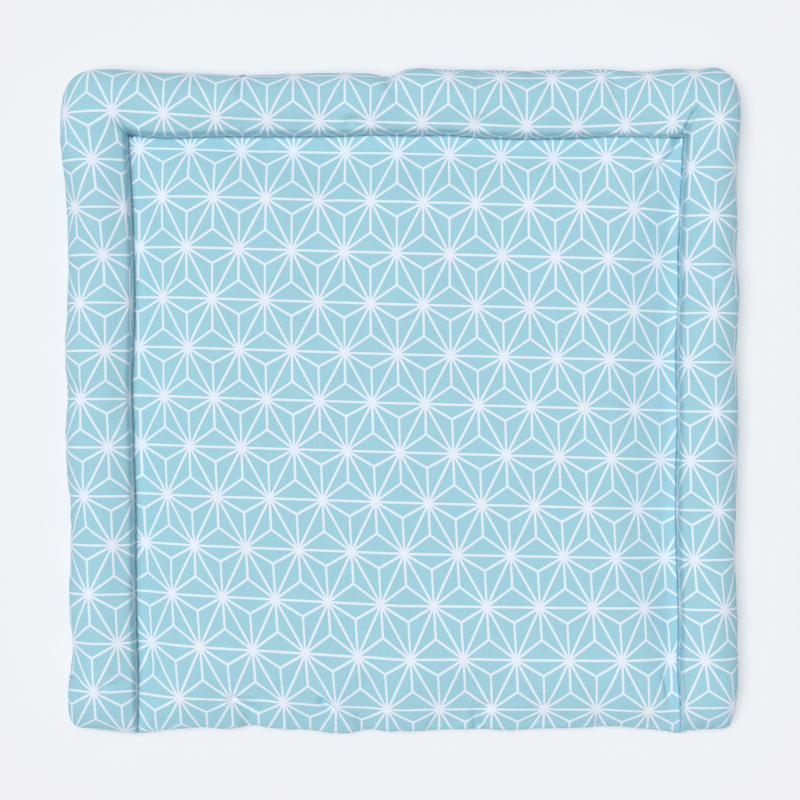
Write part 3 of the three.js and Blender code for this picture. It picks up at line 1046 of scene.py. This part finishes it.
def sewing_thread(settings):
    """Matte twisted polyester thread, much darker than the cotton's ground; its dark teal is partly the
    thread's own colour and partly painted shade of the narrow sewn channels.
    """
    noise = {"Scale": 700.0, "Detail": 1.0}
    # Painted shade: the thread's dark teal stands in for the shade inside the narrow channels.
    darker = tuple(c * 0.85 for c in settings.colour)
    return mottled("sewing_thread", noise, darker, settings.colour, {"Roughness": 0.7})


def floor_paper(settings):
    """Matte pale paper with a very faint mottle."""
    noise = {"Scale": 5.0, "Detail": 3.0}
    darker = tuple(c * 0.995 for c in settings.floor)
    lighter = tuple(min(c * 1.005, 1) for c in settings.floor)
    return mottled("floor_paper", noise, darker, lighter, {"Roughness": 0.95, "Specular IOR Level": 0.1})


# Operators. The cover leaves its sewn lines here for the threads.
SEAMS = {}


class MAT_OT_camera(Operator):
    """Adds the camera that looks straight down on the mat"""

    bl_idname = "mat.camera"
    bl_label = "Camera"

    def execute(self, context):
        settings = context.scene.mat_stage
        photo_scale = 1.15 * MM
        middle_right, middle_down = 400.2, 399.55
        half_frame = 400
        camera = bpy.data.cameras.new("camera")
        seam_height = context.scene.mat_cover.side_seam
        camera.sensor_width = 36
        camera.lens = camera.sensor_width * (settings.camera_height - seam_height) / settings.picture_width
        holder = add_object("camera", camera)
        holder.location = (
            (half_frame - middle_right) * photo_scale,
            (middle_down - half_frame) * photo_scale + settings.camera_back,
            settings.camera_height,
        )
        context.scene.camera = holder
        return {"FINISHED"}


class MAT_OT_cover(Operator):
    """Makes the stuffed cover from its two cloths"""

    bl_idname = "mat.cover"
    bl_label = "Stuffed cover"

    def execute(self, context):
        sizes = context.scene.mat_cover
        cloth = lay_out(sizes)
        upper_uv = np.stack(print_places(cloth), -1)
        lower_uv = np.stack(underside_places(cloth), -1)
        upper = fold(cloth, sizes)
        lower = np.stack([cloth.x, cloth.y, cloth.bottom], -1)
        upper = upper + inflate(cloth, upper, lower)
        lowest, highest = upper.min((0, 1)), upper.max((0, 1))
        middle = (np.array(COVER_LOW) + np.array(COVER_HIGH)) / 2
        shift = np.array([*(middle[:2] - (lowest + highest)[:2] / 2), 0])
        upper, lower = upper + shift, lower + shift
        mesh = cover_mesh(upper, lower, upper_uv, lower_uv)
        piece = add_piece("stuffed_cover", mesh, printed_cotton(context.scene.mat_print))
        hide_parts("filled_cover")
        SEAMS.update(sewn_lines(upper))
        return {"FINISHED"}


class MAT_OT_threads(Operator):
    """Sews the channels and closes the outer seam"""

    bl_idname = "mat.threads"
    bl_label = "Sewing threads"

    def execute(self, context):
        if not SEAMS:
            raise RuntimeError("The stuffed cover comes before its threads")
        sizes = context.scene.mat_threads
        proud = np.array([0, 0, 0.2 * sizes.diameter])
        channels = [
            stitched(SEAMS[name] + proud, sizes.stitch, STITCH_GAP, STITCH_SINK)
            for name in ("left", "right", "back")
        ]
        closing = [stitched(SEAMS["closing"], CLOSING_STITCH, CLOSING_GAP, CLOSING_SINK)]
        thread = sewing_thread(sizes)
        add_piece("channel_stitches", thread_mesh("channel_stitches", channels, sizes.diameter), thread)
        add_piece("closing_stitches", thread_mesh("closing_stitches", closing, sizes.diameter), thread)
        return {"FINISHED"}


class MAT_OT_stage(Operator):
    """Adds the pale floor and the soft lights"""

    bl_idname = "mat.stage"
    bl_label = "Floor and lights"

    def execute(self, context):
        settings = context.scene.mat_stage
        corners = [(x * FLOOR_REACH, y * FLOOR_REACH, 0) for x, y in ((-1, -1), (1, -1), (1, 1), (-1, 1))]
        mesh = bpy.data.meshes.new("floor")
        mesh.from_pydata(corners, [], [(0, 1, 2, 3)])
        floor = add_object("floor", mesh)
        floor.data.materials.append(floor_paper(settings))

        key = bpy.data.lights.new("key", "SUN")
        key.angle = np.radians(LAMP_WIDTH)
        key.energy = settings.key
        lamp = add_object("key", key)
        lamp.location = LAMP_PLACE
        toward = -lamp.location
        lamp.rotation_euler = toward.to_track_quat("-Z", "Y").to_euler()

        world = bpy.data.worlds.new("studio")
        world.use_nodes = True
        background = world.node_tree.nodes["Background"]
        background.inputs["Color"].default_value = (1.0, 1.0, 1.0, 1)
        background.inputs["Strength"].default_value = settings.fill
        context.scene.world = world
        context.scene.view_settings.view_transform = "Standard"
        context.scene.view_settings.look = "None"
        return {"FINISHED"}


class MAT_PT_sidebar(Panel):
    """Lists the mat's pieces and their sizes"""

    bl_idname = "MAT_PT_sidebar"
    bl_label = "Changing mat"
    bl_space_type = "VIEW_3D"
    bl_region_type = "UI"
    bl_category = "Changing mat"

    def draw(self, context):
        layout = self.layout
        for group in SETTINGS:
            settings = getattr(context.scene, group)
            box = layout.box()
            for name in settings.__annotations__:
                box.prop(settings, name)
        for operator in OPERATORS:
            layout.operator(operator.bl_idname)


SETTINGS = {
    "mat_cover": CoverSizes,
    "mat_print": PrintSettings,
    "mat_threads": ThreadSizes,
    "mat_stage": StageSettings,
}
OPERATORS = (MAT_OT_camera, MAT_OT_cover, MAT_OT_threads, MAT_OT_stage)


def register():
    for kind in (*SETTINGS.values(), *OPERATORS, MAT_PT_sidebar):
        bpy.utils.register_class(kind)
    for name, kind in SETTINGS.items():
        setattr(bpy.types.Scene, name, PointerProperty(type=kind))


def unregister():
    for name in SETTINGS:
        delattr(bpy.types.Scene, name)
    for kind in reversed((*SETTINGS.values(), *OPERATORS, MAT_PT_sidebar)):
        bpy.utils.unregister_class(kind)


def main():
    """Makes the pieces and the stage."""
    register()
    bpy.ops.mat.camera()
    bpy.ops.mat.cover()
    bpy.ops.mat.threads()
    bpy.ops.mat.stage()


if __name__ == "__main__":
    main()
